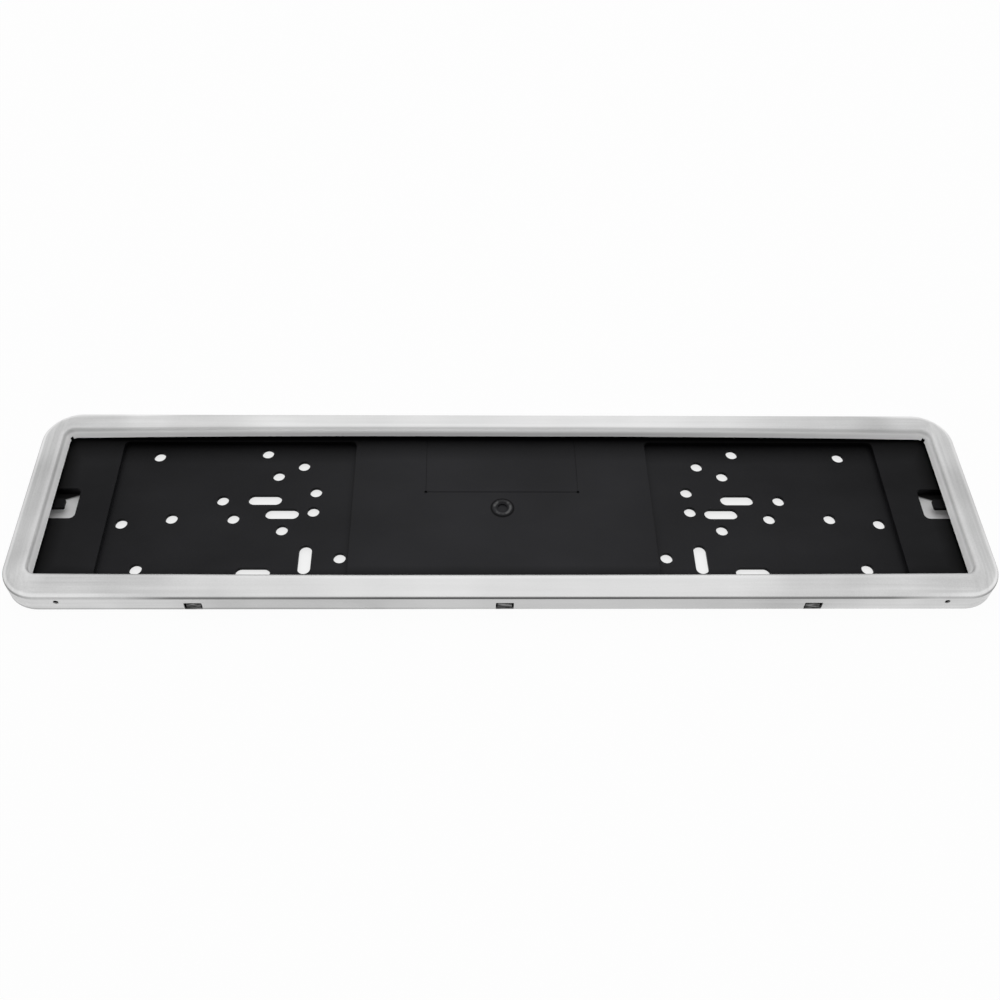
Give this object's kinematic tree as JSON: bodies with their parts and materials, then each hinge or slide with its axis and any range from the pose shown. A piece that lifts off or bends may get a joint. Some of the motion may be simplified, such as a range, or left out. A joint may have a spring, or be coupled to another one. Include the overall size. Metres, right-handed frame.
{
  "type": "number plate holder",
  "caption": "Long flat number plate holder: a pressed steel frame with a sloping face clipped over a black moulded base with recessed fields of fixing holes and slots.",
  "frame": {"origin": "middle of the footprint, on the plane that the holder is fixed to", "axes": "+X along the length, +Y across the width towards the upper long side, +Z out of the fixing plane towards the plate"},
  "size_m": [0.535, 0.13, 0.0144],
  "materials": {
    "steel": "satin rolled stainless sheet, pressed, with fine marks along the rails",
    "black_plastic": "fine spark-eroded mould texture"
  },
  "bodies": {
    "root": {"frame": "steel", "base": "black_plastic"}
  },
  "joints": []
}
